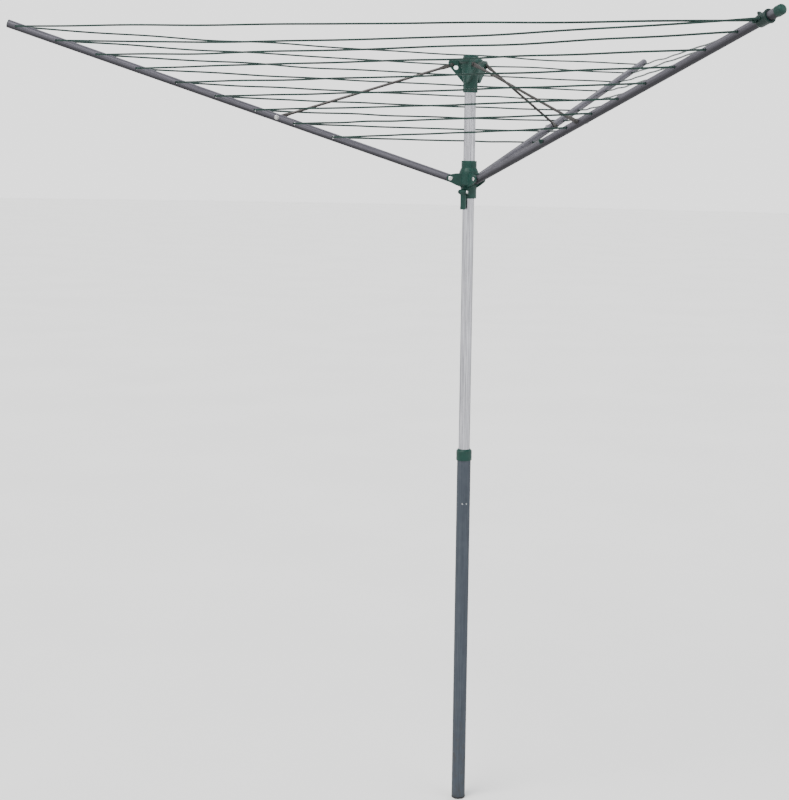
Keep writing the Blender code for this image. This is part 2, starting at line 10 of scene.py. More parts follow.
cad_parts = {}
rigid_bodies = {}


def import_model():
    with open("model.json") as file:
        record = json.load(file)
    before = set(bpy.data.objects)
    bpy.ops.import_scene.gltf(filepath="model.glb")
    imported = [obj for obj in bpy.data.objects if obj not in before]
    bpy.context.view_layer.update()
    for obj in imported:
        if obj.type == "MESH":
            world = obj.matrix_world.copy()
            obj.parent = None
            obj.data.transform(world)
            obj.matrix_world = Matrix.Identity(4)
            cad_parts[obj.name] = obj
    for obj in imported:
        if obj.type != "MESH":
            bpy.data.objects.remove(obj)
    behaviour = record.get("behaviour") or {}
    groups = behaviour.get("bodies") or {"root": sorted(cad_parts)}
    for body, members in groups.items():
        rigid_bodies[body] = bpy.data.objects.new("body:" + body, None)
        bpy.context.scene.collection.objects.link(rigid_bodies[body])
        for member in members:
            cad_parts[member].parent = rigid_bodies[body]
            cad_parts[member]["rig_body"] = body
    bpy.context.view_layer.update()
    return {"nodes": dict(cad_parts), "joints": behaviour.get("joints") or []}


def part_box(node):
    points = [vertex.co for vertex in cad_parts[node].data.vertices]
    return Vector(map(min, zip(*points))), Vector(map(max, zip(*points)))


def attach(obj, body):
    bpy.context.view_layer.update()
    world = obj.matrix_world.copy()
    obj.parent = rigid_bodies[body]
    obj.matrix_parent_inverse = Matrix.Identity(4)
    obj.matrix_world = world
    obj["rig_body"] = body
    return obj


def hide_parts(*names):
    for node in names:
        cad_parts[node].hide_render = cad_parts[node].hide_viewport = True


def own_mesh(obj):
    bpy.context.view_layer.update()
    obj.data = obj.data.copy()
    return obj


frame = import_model()
JOINTS = {joint["name"]: joint for joint in frame["joints"]}

# ---- sizes read from the frame, metres ----
HUB_PIVOT = Vector(JOINTS["fold"]["pos_m"])
ELBOW = Vector(JOINTS["arm_a_fold"]["pos_m"])
ROOT_PIVOT = Vector(JOINTS["runner_fold"]["pos_m"])
PIVOT_R = ROOT_PIVOT.x
LINK = (ELBOW - ROOT_PIVOT).length
OPEN_ANGLE = math.atan2(ELBOW.z - ROOT_PIVOT.z, ELBOW.x - ROOT_PIVOT.x)
ARM_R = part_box("arm_tube_a")[1].y
ARM_LENGTH = (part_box("arm_tube_a")[1].x - PIVOT_R - ARM_R * math.sin(OPEN_ANGLE)) / math.cos(OPEN_ANGLE)
LOWER_LOW, LOWER_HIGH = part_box("mast_lower_tube")
UPPER_LOW, UPPER_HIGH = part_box("mast_upper_tube")
LOWER_R = LOWER_HIGH.x
UPPER_R = UPPER_HIGH.x
DENT_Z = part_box("mast_stop")[1].z - 0.004
DENT_TURNS = [math.radians(degrees) for degrees in (80.0, 118.0, 260.0, 298.0)]

# ---- sizes of the details, metres ----
LOWER_WALL = 0.0012
UPPER_WALL = 0.0010
LOWER_RIM = 0.0006
UPPER_RIM = 0.0004
DENT_SINK = 0.0014
DENT_SPREAD = 0.0026
# depth of a dimple from which its painted highlight starts
DENT_HIGHLIGHT_FROM = 0.0008
ARM_WALL = 0.0010
ARM_RIM = 0.0003
ARM_BACK = 0.012
HOLE_R = 0.0030
HOLE_FIRST = ARM_LENGTH - 0.0193
HOLE_PITCH = 0.0914
HOLE_COUNT = 9
PIN_HOLE_R = 0.0026
ROOT_HOLE_R = 0.0031
DRILL_DEPTH = 0.03
LINE_R = 0.0020
LINE_SIDES = 12
HALF_STEPS = 30
LINE_EXIT = 0.0125
STRUT_EXIT = 0.0195
LINE_SAG = 0.0022
LINE_WAVE = 0.0009
FRONT_SAG = {1: 0.0002, 2: 0.0105, 3: 0.0060, 4: 0.0010}
KNOT_SIZE = 0.0012
TENSIONER_S = ARM_LENGTH - 0.0460
TENSIONER_SIDE = 0.0158
STRUT_R = 0.0030
STRUT_FLAT_T = 0.0030
STRUT_FLAT_W = 0.0090
STRUT_FLAT_L = 0.030
STRUT_HUB_Y = -0.0190
STRUT_ARM_Y = -(ARM_R + 0.0006 + STRUT_FLAT_T / 2.0)
ROD_ARM_Y = -(ARM_R + 0.0010 + STRUT_R)

# ---- stage and camera, metres and degrees ----
FLOOR_RADIUS = 40.0
FLOOR_GAP = 0.0005
CAMERA_PLACE = (0.0987, 3.6633, 1.5417)
CAMERA_YAW = 183.69
CAMERA_PITCH = -7.86
CAMERA_ROLL = 1.29
CAMERA_LENS = 72.0
CAMERA_SHIFT = (-0.163, -0.0375)

TURNS = {"a": 0.0, "b": math.radians(120.0), "c": math.radians(240.0)}
ROUTE = ("a", "c", "b")
CHANCE = random.Random(11)


# ---- materials ----
class Surface:
    """Builds one node material on object coordinates."""

    def __init__(self, name, roughness, metallic, specular=0.5, edge_tint=1.0):
        self.mat = bpy.data.materials.new(name)
        self.mat.use_nodes = True
        self.nodes = self.mat.node_tree.nodes
        self.links = self.mat.node_tree.links
        self.shader = self.nodes["Principled BSDF"]
        self.shader.inputs["Metallic"].default_value = metallic
        self.shader.inputs["Roughness"].default_value = roughness
        self.shader.inputs["Specular IOR Level"].default_value = specular
        self.shader.inputs["Specular Tint"].default_value = (edge_tint, edge_tint, edge_tint, 1.0)
        self.coords = self.nodes.new("ShaderNodeTexCoord").outputs["Object"]

    def stretched(self, scale):
        """Object coordinates with each axis scaled, to draw a pattern out along the piece."""
        mapping = self.nodes.new("ShaderNodeMapping")
        mapping.inputs["Scale"].default_value = scale
        self.links.new(self.coords, mapping.inputs["Vector"])
        return mapping.outputs["Vector"]

    def noise(self, scale, stretch=(1.0, 1.0, 1.0), detail=5.0, roughness=0.55):
        node = self.nodes.new("ShaderNodeTexNoise")
        node.inputs["Scale"].default_value = scale
        node.inputs["Detail"].default_value = detail
        node.inputs["Roughness"].default_value = roughness
        self.links.new(self.stretched(stretch), node.inputs["Vector"])
        return node.outputs["Fac"]

    def ramp(self, value, stops):
        node = self.nodes.new("ShaderNodeValToRGB")
        elements = node.color_ramp.elements
        while len(elements) < len(stops):
            elements.new(0.5)
        for element, (place, colour) in zip(elements, stops):
            element.position = place
            element.color = (*colour, 1.0)
        self.links.new(value, node.inputs["Fac"])
        return node.outputs["Color"]

    def levels(self, value, low, high, bottom=0.0, top=1.0):
        """Maps low..high to bottom..top and holds beyond both."""
        node = self.nodes.new("ShaderNodeMapRange")
        node.inputs["From Min"].default_value = low
        node.inputs["From Max"].default_value = high
        node.inputs["To Min"].default_value = bottom
        node.inputs["To Max"].default_value = top
        self.links.new(value, node.inputs["Value"])
        return node.outputs["Result"]

    def mix(self, factor, first, second):
        node = self.nodes.new("ShaderNodeMix")
        node.data_type = "RGBA"
        self.feed(node.inputs["Factor"], factor)
        self.feed(node.inputs["A"], first)
        self.feed(node.inputs["B"], second)
        return [out for out in node.outputs if out.type == "RGBA"][0]

    def feed(self, socket, value):
        if isinstance(value, bpy.types.NodeSocket):
            self.links.new(value, socket)
        elif isinstance(value, tuple):
            socket.default_value = (*value, 1.0)
        else:
            socket.default_value = value

    def math(self, operation, first, second):
        node = self.nodes.new("ShaderNodeMath")
        node.operation = operation
        self.feed(node.inputs[0], first)
        self.feed(node.inputs[1], second)
        return node.outputs["Value"]

    def edges(self):
        """1 on convex edges, 0 elsewhere."""
        geometry = self.nodes.new("ShaderNodeNewGeometry")
        return self.levels(geometry.outputs["Pointiness"], 0.51, 0.56)

    def painted_underside(self, share):
        """How much painted shade a point gets from facing down."""
        geometry = self.nodes.new("ShaderNodeNewGeometry")
        split = self.nodes.new("ShaderNodeSeparateXYZ")
        self.links.new(geometry.outputs["Normal"], split.inputs["Vector"])
        return self.levels(split.outputs["Z"], -0.60, 0.30, share, 0.0)

    def height(self):
        """Height of a point within its piece."""
        split = self.nodes.new("ShaderNodeSeparateXYZ")
        self.links.new(self.coords, split.inputs["Vector"])
        return split.outputs["Z"]

    def finish(self, colour, roughness, bump, distance, strength):
        """Feeds the shader its colour, roughness and relief."""
        self.links.new(colour, self.shader.inputs["Base Color"])
        self.links.new(roughness, self.shader.inputs["Roughness"])
        node = self.nodes.new("ShaderNodeBump")
        node.inputs["Distance"].default_value = distance
        node.inputs["Strength"].default_value = strength
        self.links.new(bump, node.inputs["Height"])
        self.links.new(node.outputs["Normal"], self.shader.inputs["Normal"])
        return self.mat


def metal(name, dark, light, roughness, along, metallic, dull, dirt=0.30, shade_share=0.65):
    """Drawn tube: streaks along its length, blotches of dull oxide, fine scratches, painted shade underneath.
    """
    look = Surface(name, roughness, metallic, 0.35, 0.35)
    across = tuple(3.0 if axis != along else 0.06 for axis in "xyz")
    streaks = look.noise(160.0, across, 6.0, 0.65)
    blotches = look.noise(11.0, (1.0, 1.0, 1.0), 6.0, 0.7)
    speckle = look.noise(420.0, (1.0, 1.0, 1.0), 3.0, 0.6)
    base = look.ramp(streaks, [(0.30, dark), (0.72, light)])
    worn = look.mix(look.levels(blotches, 0.48, 0.70, 0.0, dirt), base, dull)
    spotted = look.mix(look.levels(speckle, 0.64, 0.74, 0.0, dirt), worn, dull)
    # painted shade: the downward-facing side is darkened towards a dark copy of the tube's colour
    shaded_under = look.mix(look.painted_underside(shade_share), spotted, tuple(0.18 * c for c in dark))
    rough = look.math("ADD", look.levels(streaks, 0.3, 0.7, roughness - 0.05, roughness + 0.07),
                      look.levels(blotches, 0.45, 0.75, 0.0, 0.16))
    relief = look.math("ADD", streaks, look.math("MULTIPLY", speckle, 0.5))
    return look.finish(shaded_under, rough, relief, 0.00012, 0.35)


def plastic(name, dark, light, roughness, dust, dust_share):
    """Moulded plastic: slow tone changes, chalky worn edges, dust, painted shade underneath and a fine
    pebbled skin.
    """
    look = Surface(name, roughness, 0.0, 0.22)
    tone = look.noise(28.0, (1.0, 1.0, 1.0), 5.0, 0.6)
    skin = look.noise(900.0, (1.0, 1.0, 1.0), 2.0, 0.5)
    cloud = look.noise(75.0, (1.0, 1.0, 1.0), 6.0, 0.7)
    base = look.ramp(tone, [(0.32, dark), (0.70, light)])
    dusty = look.mix(look.levels(cloud, 0.52, 0.78, 0.0, dust_share), base, dust)
    worn = look.mix(look.math("MULTIPLY", look.edges(), 0.35), dusty, dust)
    # painted shade: the downward-facing side is darkened towards a dark copy of the plastic's colour
    shaded = look.mix(look.painted_underside(0.45), worn, tuple(0.3 * c for c in dark))
    rough = look.math("ADD", look.levels(tone, 0.3, 0.7, roughness - 0.05, roughness + 0.05),
                      look.levels(cloud, 0.45, 0.75, 0.0, 0.15))
    return look.finish(shaded, rough, skin, 0.00015, 0.30)


def lower_mast_metal():
    """Grey coated tube with mottling, faint long streaks and splashed soil near the foot."""
    look = Surface("lower_tube_worn_coat", 0.44, 0.30, 0.15, 0.2)
    streaks = look.noise(150.0, (3.0, 3.0, 0.05), 6.0, 0.6)
    mottling = look.noise(55.0, (1.0, 1.0, 0.6), 6.0, 0.7)
    splash = look.noise(130.0, (1.0, 1.0, 0.5), 6.0, 0.7)
    base = look.ramp(streaks, [(0.28, (0.034, 0.041, 0.050)), (0.75, (0.062, 0.071, 0.086))])
    mottled = look.mix(look.levels(mottling, 0.44, 0.72, 0.0, 0.28), base, (0.080, 0.089, 0.103))
    near_foot = look.levels(look.height(), 0.02, 0.30, 0.75, 0.0)
    soil = look.math("MULTIPLY", near_foot, look.levels(splash, 0.50, 0.66))
    dirty = look.mix(soil, mottled, (0.050, 0.043, 0.034))
    rough = look.math("ADD", look.levels(mottling, 0.35, 0.70, 0.34, 0.50), look.math("MULTIPLY", soil, 0.35))
    relief = look.math("ADD", mottling, look.math("MULTIPLY", streaks, 0.5))
    return look.finish(dirty, rough, relief, 0.00012, 0.4)


def line_skin():
    """Weathered PVC skin of the line: paler chalky stretches and a faint grain."""
    look = Surface("line_weathered_pvc", 0.45, 0.0, 0.2)
    stretches = look.noise(14.0, (1.0, 1.0, 1.0), 5.0, 0.65)
    fine = look.noise(520.0, (1.0, 1.0, 1.0), 4.0, 0.6)
    base = look.ramp(stretches, [(0.30, (0.003, 0.014, 0.011)), (0.55, (0.006, 0.024, 0.019)),
                                 (0.78, (0.016, 0.042, 0.034))])
    chalky = look.mix(look.levels(fine, 0.52, 0.80, 0.0, 0.15), base, (0.06, 0.08, 0.07))
    rough = look.levels(fine, 0.30, 0.70, 0.38, 0.55)
    return look.finish(chalky, rough, fine, 0.0002, 0.3)


# Dark dull zinc: the hub pins' own finish, and painted shade on the rivet heads on the struts' side.
AGED_ZINC_AND_SHADE = metal("aged_zinc_and_painted_shade", (0.030, 0.031, 0.030), (0.075, 0.076, 0.074), 0.38, "y",
                  0.8, (0.025, 0.024, 0.022), 0.30, 0.5)
# painted highlight: light steel put into the dimples of the lower tube
DENT_HIGHLIGHT_STEEL = metal("dent_painted_highlight", (0.26, 0.27, 0.28), (0.50, 0.51, 0.52), 0.38, "z",
                      0.4, (0.20, 0.20, 0.20), 0.20, 0.0)
CLAMP_PLASTIC = plastic("clamp_plastic", (0.002, 0.012, 0.010), (0.004, 0.022, 0.018), 0.40,
                        (0.040, 0.060, 0.055), 0.15)
LOOKS = {
    "lower_tube_steel": lower_mast_metal(),
    "upper_tube_steel": metal("upper_tube_drawn_steel", (0.20, 0.20, 0.22), (0.62, 0.62, 0.66), 0.20, "z",
                              1.0, (0.25, 0.25, 0.26), 0.25, 0.0),
    "arm_tube_alloy": metal("arm_tube_satin", (0.085, 0.083, 0.096), (0.165, 0.160, 0.185), 0.34, "x",
                            0.6, (0.060, 0.060, 0.066), 0.30, 0.85),
    "strut_steel": metal("strut_dull_steel", (0.050, 0.047, 0.046), (0.130, 0.124, 0.120), 0.36, "x",
                         0.6, (0.030, 0.028, 0.026), 0.30, 0.85),
    "pin_steel": metal("pin_bright_zinc", (0.42, 0.42, 0.42), (0.70, 0.70, 0.68), 0.24, "y",
                       1.0, (0.25, 0.25, 0.24), 0.25, 0.3),
    "green_plastic": plastic("green_moulded_plastic", (0.003, 0.026, 0.020), (0.006, 0.042, 0.033), 0.42,
                             (0.045, 0.080, 0.070), 0.20),
    "black_plastic": plastic("black_moulded_plastic", (0.006, 0.007, 0.007), (0.015, 0.017, 0.017), 0.50,
                             (0.08, 0.075, 0.07), 0.20),
    "line_pvc": line_skin(),
}


# ---- making and placing pieces ----
def new_piece(name, mesh, slot, body, place=None):
    obj = bpy.data.objects.new(name, mesh)
    bpy.context.scene.collection.objects.link(obj)
    mesh.materials.clear()
    mesh.materials.append(LOOKS[slot])
    if place is not None:
        obj.matrix_world = place
    for face in mesh.polygons:
        face.use_smooth = True
    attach(obj, body)
    return obj


def mesh_of(name, bm):
    bmesh.ops.recalc_face_normals(bm, faces=bm.faces)
    mesh = bpy.data.meshes.new(name)
    bm.to_mesh(mesh)
    bm.free()
    return mesh


def keep_creases(mesh, angle=math.radians(38.0)):
    """Marks edges sharper than the angle, so that smooth shading stops there."""
    bm = bmesh.new()
    bm.from_mesh(mesh)
    for edge in bm.edges:
        edge.smooth = not (len(edge.link_faces) == 2 and edge.calc_face_angle(0.0) > angle)
    bm.to_mesh(mesh)
    bm.free()


def lathe(name, profile, steps, dents=None):
    """Closed profile of (radius, height) turned about Z; dents(turn, height) gives how far a point sinks."""
    bm = bmesh.new()
    rings = []
    for radius, height in profile:
        ring = []
        for i in range(steps):
            turn = 2.0 * math.pi * i / steps
            reach = radius - (dents(turn, height) if dents else 0.0)
            ring.append(bm.verts.new((reach * math.cos(turn), reach * math.sin(turn), height)))
        rings.append(ring)
    for first, second in zip(rings, rings[1:] + rings[:1]):
        for i in range(steps):
            j = (i + 1) % steps
            bm.faces.new((first[i], second[i], second[j], first[j]))
    return mesh_of(name, bm)


def evaluated_mesh(obj):
    bpy.context.view_layer.update()
    return bpy.data.meshes.new_from_object(obj.evaluated_get(bpy.context.evaluated_depsgraph_get()))


def moulded(node, slot, voxel, ratio):
    """The CAD node with its edges rounded off, as a moulded or tumbled piece has them."""
    source = frame["nodes"][node]
    work = bpy.data.objects.new("work", source.data.copy())
    bpy.context.scene.collection.objects.link(work)
    weld = work.modifiers.new("weld", "WELD")
    weld.merge_threshold = 0.00002
    remesh = work.modifiers.new("remesh", "REMESH")
    remesh.mode = "VOXEL"
    remesh.voxel_size = voxel
    relax = work.modifiers.new("relax", "SMOOTH")
    relax.factor = 0.5
    relax.iterations = 3
    thin = work.modifiers.new("thin", "DECIMATE")
    thin.ratio = ratio
    mesh = evaluated_mesh(work)
    bpy.data.objects.remove(work)
    piece = new_piece(node + "_fine", mesh, slot, source["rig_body"])
    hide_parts(node)
    return piece


def shade_strut_side_heads(piece, turn):
    """The rivet's head on the strut's side gets the darker aged zinc as painted shade, for the shade it sits
    in; its domed nut stays bright.
    """
    piece.data.materials.append(AGED_ZINC_AND_SHADE)
    sideways = Vector((-math.sin(turn), math.cos(turn), 0.0))
    for face in piece.data.polygons:
        if face.center.dot(sideways) < -ARM_R:
            face.material_index = 1


def restyle(piece, material):
    """Gives a piece a material of its own within its slot."""
    piece.data.materials[0] = material


def on_arm_place(turn):
    """Frame of an arm: X along it from its pivot, Y level, Z up."""
    root = Matrix.Translation((PIVOT_R * math.cos(turn), PIVOT_R * math.sin(turn), ROOT_PIVOT.z))
    return root @ Euler((0.0, -OPEN_ANGLE, turn)).to_matrix().to_4x4()


def on_strut_place(turn):
    """Frame of a strut: X along it from its hub pivot."""
    pivot = Matrix.Translation((PIVOT_R * math.cos(turn), PIVOT_R * math.sin(turn), HUB_PIVOT.z))
    return pivot @ Euler((0.0, OPEN_ANGLE, turn)).to_matrix().to_4x4()


# ---- tubes ----
def dent(turn, height):
    """Depth of the four pressed dimples that hold the inner stop ring."""
    depth = 0.0
    for centre in DENT_TURNS:
        apart = (turn - centre + math.pi) % (2.0 * math.pi) - math.pi
        distance = math.hypot(apart * LOWER_R, height - DENT_Z)
        depth += DENT_SINK * math.exp(-(distance / DENT_SPREAD) ** 2)
    return depth


def paint_dent_highlights(piece):
    """Paints lighter steel into the middle of each dimple as a painted highlight, where the dimples catch the
    light.
    """
    piece.data.materials.append(DENT_HIGHLIGHT_STEEL)
    for face in piece.data.polygons:
        centre = face.center
        outside = centre.xy.length > LOWER_R - DENT_SINK - LOWER_RIM
        if outside and dent(math.atan2(centre.y, centre.x), centre.z) > DENT_HIGHLIGHT_FROM:
            face.material_index = 1


def tube_heights(low, high, dense=None):
    """Heights of a tube's rings, close together round the height called dense."""
    heights = [low + (high - low) * i / 24.0 for i in range(25)]
    if dense is not None:
        heights = [h for h in heights if abs(h - dense) > 0.010]
        heights += [dense + 0.0008 * i for i in range(-11, 12)]
    return sorted(heights)


def mast_tubes():
    """Both mast tubes with rounded rims; the lower one has its dimples."""
    low, high = LOWER_LOW.z, LOWER_HIGH.z
    inner = LOWER_R - LOWER_WALL
    rim = LOWER_R - LOWER_RIM
    outside = [(LOWER_R, h) for h in tube_heights(low + LOWER_RIM, high - LOWER_RIM, DENT_Z)]
    profile = [(rim, low)] + outside + [(rim, high), (inner, high), (inner, low)]
    mesh = lathe("lower", profile, 96, dent)
    lower = new_piece("mast_lower_tube_fine", mesh, "lower_tube_steel", "lower_mast")
    paint_dent_highlights(lower)
    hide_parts("mast_lower_tube")
    low, high = UPPER_LOW.z, UPPER_HIGH.z
    inner = UPPER_R - UPPER_WALL
    rim = UPPER_R - UPPER_RIM
    outside = [(UPPER_R, h) for h in tube_heights(low + UPPER_RIM, high - UPPER_RIM)]
    profile = [(rim, low)] + outside + [(rim, high), (inner, high), (inner, low)]
    mesh = lathe("upper", profile, 72)
    upper = new_piece("mast_upper_tube_fine", mesh, "upper_tube_steel", "head")
    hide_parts("mast_upper_tube")


def hole_station(number, key):
    """Distance of a line hole from the arm's pivot; hole 1 is the one nearest the tip."""
    if number == 1 and key == "b":
        return TENSIONER_S
    return HOLE_FIRST - (number - 1) * HOLE_PITCH


def entering_side(number, key):
    """How far the line runs straight in on the arm's plain side."""
    return TENSIONER_SIDE if number == 1 and key == "b" else LINE_EXIT


def leaving_side(number, key):
    """How far the line runs straight out on the strut's side, more where the folded strut comes close."""
    if number == 1 and key == "b":
        return TENSIONER_SIDE
    above = hole_station(number, key) - LINK
    return STRUT_EXIT if 0.0 < above < HOLE_PITCH else LINE_EXIT


def arm_tube(key, turn):
    """Arm tube with its line holes drilled through both walls."""
    inner = ARM_R - ARM_WALL
    low, high = -ARM_BACK, ARM_LENGTH
    profile = [(ARM_R - ARM_RIM, low), (ARM_R, low + ARM_RIM), (ARM_R, high - ARM_RIM),
               (ARM_R - ARM_RIM, high), (inner, high), (inner, low)]
    mesh = lathe("arm", profile, 56)
    mesh.transform(Matrix.Rotation(math.radians(90.0), 4, "Y"))
    work = bpy.data.objects.new("work", mesh)
    bpy.context.scene.collection.objects.link(work)
    bm = bmesh.new()
    drills = [(hole_station(number, key), HOLE_R) for number in range(1, HOLE_COUNT + 1)]
    drills += [(LINK, PIN_HOLE_R), (0.0, ROOT_HOLE_R)]
    for station, radius in drills:
        place = Matrix.Translation((station, 0.0, 0.0)) @ Matrix.Rotation(math.radians(90.0), 4, "X")
        bmesh.ops.create_cone(bm, cap_ends=True, segments=20, radius1=radius, radius2=radius,
                              depth=DRILL_DEPTH, matrix=place)
    cutter = bpy.data.objects.new("cutter", mesh_of("cutter", bm))
    bpy.context.scene.collection.objects.link(cutter)
    cut = work.modifiers.new("cut", "BOOLEAN")
    cut.operation = "DIFFERENCE"
    cut.solver = "EXACT"
    cut.object = cutter
    mesh = evaluated_mesh(work)
    bpy.data.objects.remove(work)
    bpy.data.objects.remove(cutter)
    piece = new_piece("arm_tube_" + key + "_fine", mesh, "arm_tube_alloy", "arm_" + key + "_body",
                      on_arm_place(turn))
    keep_creases(mesh)
    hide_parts("arm_tube_" + key)


def strut(key, turn):
    """Round rod whose two ends are pressed flat; its cross-section changes smoothly from circle to bar."""
    stations = [-STRUT_FLAT_W / 2.0 + 0.00005]
    stations += [-STRUT_FLAT_W / 2.0 * math.cos(math.radians(15.0 * i)) for i in range(1, 7)]
    stations += [0.004 + 0.002 * i for i in range(20)]
    middle = [0.05 + (LINK - 0.10) * i / 16.0 for i in range(17)]
    stations = stations + middle + [LINK - s for s in reversed(stations)]
    steps = 32
    bm = bmesh.new()
    rings = []
    for x in sorted(stations):
        end = min(x, LINK - x)
        round_share = min(max((end - (STRUT_FLAT_L - 0.014)) / 0.018, 0.0), 1.0)
        round_share = round_share * round_share * (3.0 - 2.0 * round_share)
        width = STRUT_FLAT_W / 2.0
        if end < 0.0:
            width = math.sqrt(max(width * width - end * end, 1e-10))
        half_z = width * (1.0 - round_share) + STRUT_R * round_share
        half_y = STRUT_FLAT_T / 2.0 * (1.0 - round_share) + STRUT_R * round_share
        power = 2.0 / (4.5 * (1.0 - round_share) + 2.0 * round_share)
        lean = min(max((x - STRUT_FLAT_L) / (LINK - 2.0 * STRUT_FLAT_L), 0.0), 1.0)
        centre = STRUT_HUB_Y + (ROD_ARM_Y - STRUT_HUB_Y) * lean
        if x > LINK / 2.0:
            centre += (STRUT_ARM_Y - ROD_ARM_Y) * (1.0 - round_share)
        ring = []
        for i in range(steps):
            turn_at = 2.0 * math.pi * i / steps
            c, s = math.cos(turn_at), math.sin(turn_at)
            y = centre + half_y * math.copysign(abs(c) ** power, c)
            ring.append(bm.verts.new((x, y, half_z * math.copysign(abs(s) ** power, s))))
        rings.append(ring)
    for first, second in zip(rings, rings[1:]):
        for i in range(steps):
            j = (i + 1) % steps
            bm.faces.new((first[i], second[i], second[j], first[j]))
    bm.faces.new(rings[0])
    bm.faces.new(list(reversed(rings[-1])))
    piece = new_piece("strut_" + key + "_fine", mesh_of("strut", bm), "strut_steel", "strut_" + key + "_body",
                      on_strut_place(turn))
    keep_creases(piece.data, math.radians(50.0))
    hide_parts("strut_" + key)


# ---- line ----
def on_arm(turn, station, side):
    return on_arm_place(turn) @ Vector((station, side, 0.0))


def span_path(start, end, split_turn, slack):
    """Points of one span between two arms; the middle index lies on the plane halfway between the arms."""
    across = Vector((-math.sin(split_turn), math.cos(split_turn), 0.0))
    reach = (end - start).dot(across)
    share = -start.dot(across) / reach
    length = (end - start).length
    flat = (end - start).normalized()
    side = flat.cross(Vector((0.0, 0.0, 1.0))).normalized()
    wave = [CHANCE.uniform(-1.0, 1.0) for _ in range(8)]
    points = []
    for i in range(2 * HALF_STEPS + 1):
        if i <= HALF_STEPS:
            inside = i / HALF_STEPS
            at = share * inside
        else:
            inside = (i - HALF_STEPS) / HALF_STEPS
            at = share + (1.0 - share) * inside
        hold = min(1.0, 4.0 * inside * (1.0 - inside))
        ripple = sum(wave[k] * math.sin((k + 1) * 3.1 * math.pi * at + 3.0 * wave[-k - 1]) for k in range(4))
        lift = sum(wave[k + 4] * math.sin((k + 1) * 2.7 * math.pi * at + 3.0 * wave[k]) for k in range(4))
        sag = 4.0 * slack * length * at * (1.0 - at)
        place = start.lerp(end, at)
        place += side * (ripple * hold * LINE_WAVE * length / 1.2)
        place.z += lift * hold * LINE_WAVE * length / 1.2 - sag
        points.append(place)
    return points


def add_tube(bm, points, frames, caps=True):
    """Adds the line's round section along the points."""
    rings = []
    for place, (right, up) in zip(points, frames):
        ring = []
        for i in range(LINE_SIDES):
            turn = 2.0 * math.pi * i / LINE_SIDES
            ring.append(bm.verts.new(place + (right * math.cos(turn) + up * math.sin(turn)) * LINE_R))
        rings.append(ring)
    for first, second in zip(rings, rings[1:]):
        for i in range(LINE_SIDES):
            j = (i + 1) % LINE_SIDES
            bm.faces.new((first[i], second[i], second[j], first[j]))
    if caps:
        bm.faces.new(rings[0])
        bm.faces.new(list(reversed(rings[-1])))


def frames_along(points):
    """Sideways and upward directions across the line at each of its points."""
    frames = []
    for i in range(len(points)):
        along = (points[min(i + 1, len(points) - 1)] - points[max(i - 1, 0)]).normalized()
        right = along.cross(Vector((0.0, 0.0, 1.0)))
        if right.length < 1e-4:
            right = Vector((1.0, 0.0, 0.0))
        right.normalize()
        frames.append((right, right.cross(along)))
    return frames


def half_span(name, key, points, frames):
    """Half of a span, which rides its own arm and is pulled in towards it as the arms fold."""
    bm = bmesh.new()
    add_tube(bm, points, frames)
    piece = new_piece(name, mesh_of(name, bm), "line_pvc", "arm_" + key + "_body")
    keep_creases(piece.data)
    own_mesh(piece)
    return piece


def through_piece(key):
    """The short stretches of line that lie in one arm's holes."""
    bm = bmesh.new()
    for number in range(1, HOLE_COUNT + 1):
        station = hole_station(number, key)
        entry, leave = entering_side(number, key), leaving_side(number, key)
        points = [on_arm(TURNS[key], station, entry - (entry + leave) * i / 8.0) for i in range(9)]
        add_tube(bm, points, frames_along(points))
    return new_piece("line_through_arm_" + key, mesh_of("through", bm), "line_pvc", "arm_" + key + "_body")


def knot(name, centre, key):
    """A pulled-tight overhand knot that stops the line behind its hole."""
    points = []
    for i in range(49):
        t = 2.0 * math.pi * i / 48.0
        loop = Vector((math.sin(t) + 2.0 * math.sin(2.0 * t), -1.1 * math.sin(3.0 * t),
                       math.cos(t) - 2.0 * math.cos(2.0 * t)))
        points.append(centre + loop * KNOT_SIZE)
    bm = bmesh.new()
    frames = []
    for i in range(49):
        along = (points[(i + 1) % 48] - points[(i - 1) % 48]).normalized()
        right = along.cross(Vector((0.0, 1.0, 0.0))).normalized()
        frames.append((right, right.cross(along)))
    add_tube(bm, points, frames, caps=False)
    bmesh.ops.remove_doubles(bm, verts=bm.verts, dist=1e-5)
    return new_piece(name, mesh_of(name, bm), "line_pvc", "arm_" + key + "_body")


def clothesline():
    """The whole line, from the tensioner on arm b nine times round and inwards to the last hole of arm b."""
    first = through_piece("b")
    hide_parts("clothesline")
    through_piece("a")
    through_piece("c")
    start = on_arm(TURNS["b"], TENSIONER_S - 0.0110, -TENSIONER_SIDE)
    before, leave = "b", start
    knot("line_knot_start", start, "b")
    for number in range(1, HOLE_COUNT + 1):
        for key in ROUTE:
            station = hole_station(number, key)
            entry = on_arm(TURNS[key], station, entering_side(number, key))
            split_turn = TURNS[before] - math.radians(60.0)
            slack = FRONT_SAG.get(number, LINE_SAG) if key == "a" else LINE_SAG
            points = span_path(leave, entry, split_turn, slack)
            frames = frames_along(points)
            half = len(points) // 2
            name = "line_%d_%s%s" % (number, before, key)
            half_span(name + "_near", before, points[:half + 1], frames[:half + 1])
            half_span(name + "_far", key, points[half:], frames[half:])
            before, leave = key, on_arm(TURNS[key], station, -leaving_side(number, key))
    knot("line_knot_end", leave, "b")


# ---- everything ----
def carried_over():
    """CAD nodes that stay as they are get the worked materials of their slot."""
    for name, obj in frame["nodes"].items():
        for index, material in enumerate(obj.data.materials):
            slot = material.name.split(".")[0] if material else ""
            if slot in LOOKS:
                obj.material_slots[index].link = "OBJECT"
                obj.material_slots[index].material = LOOKS[slot]


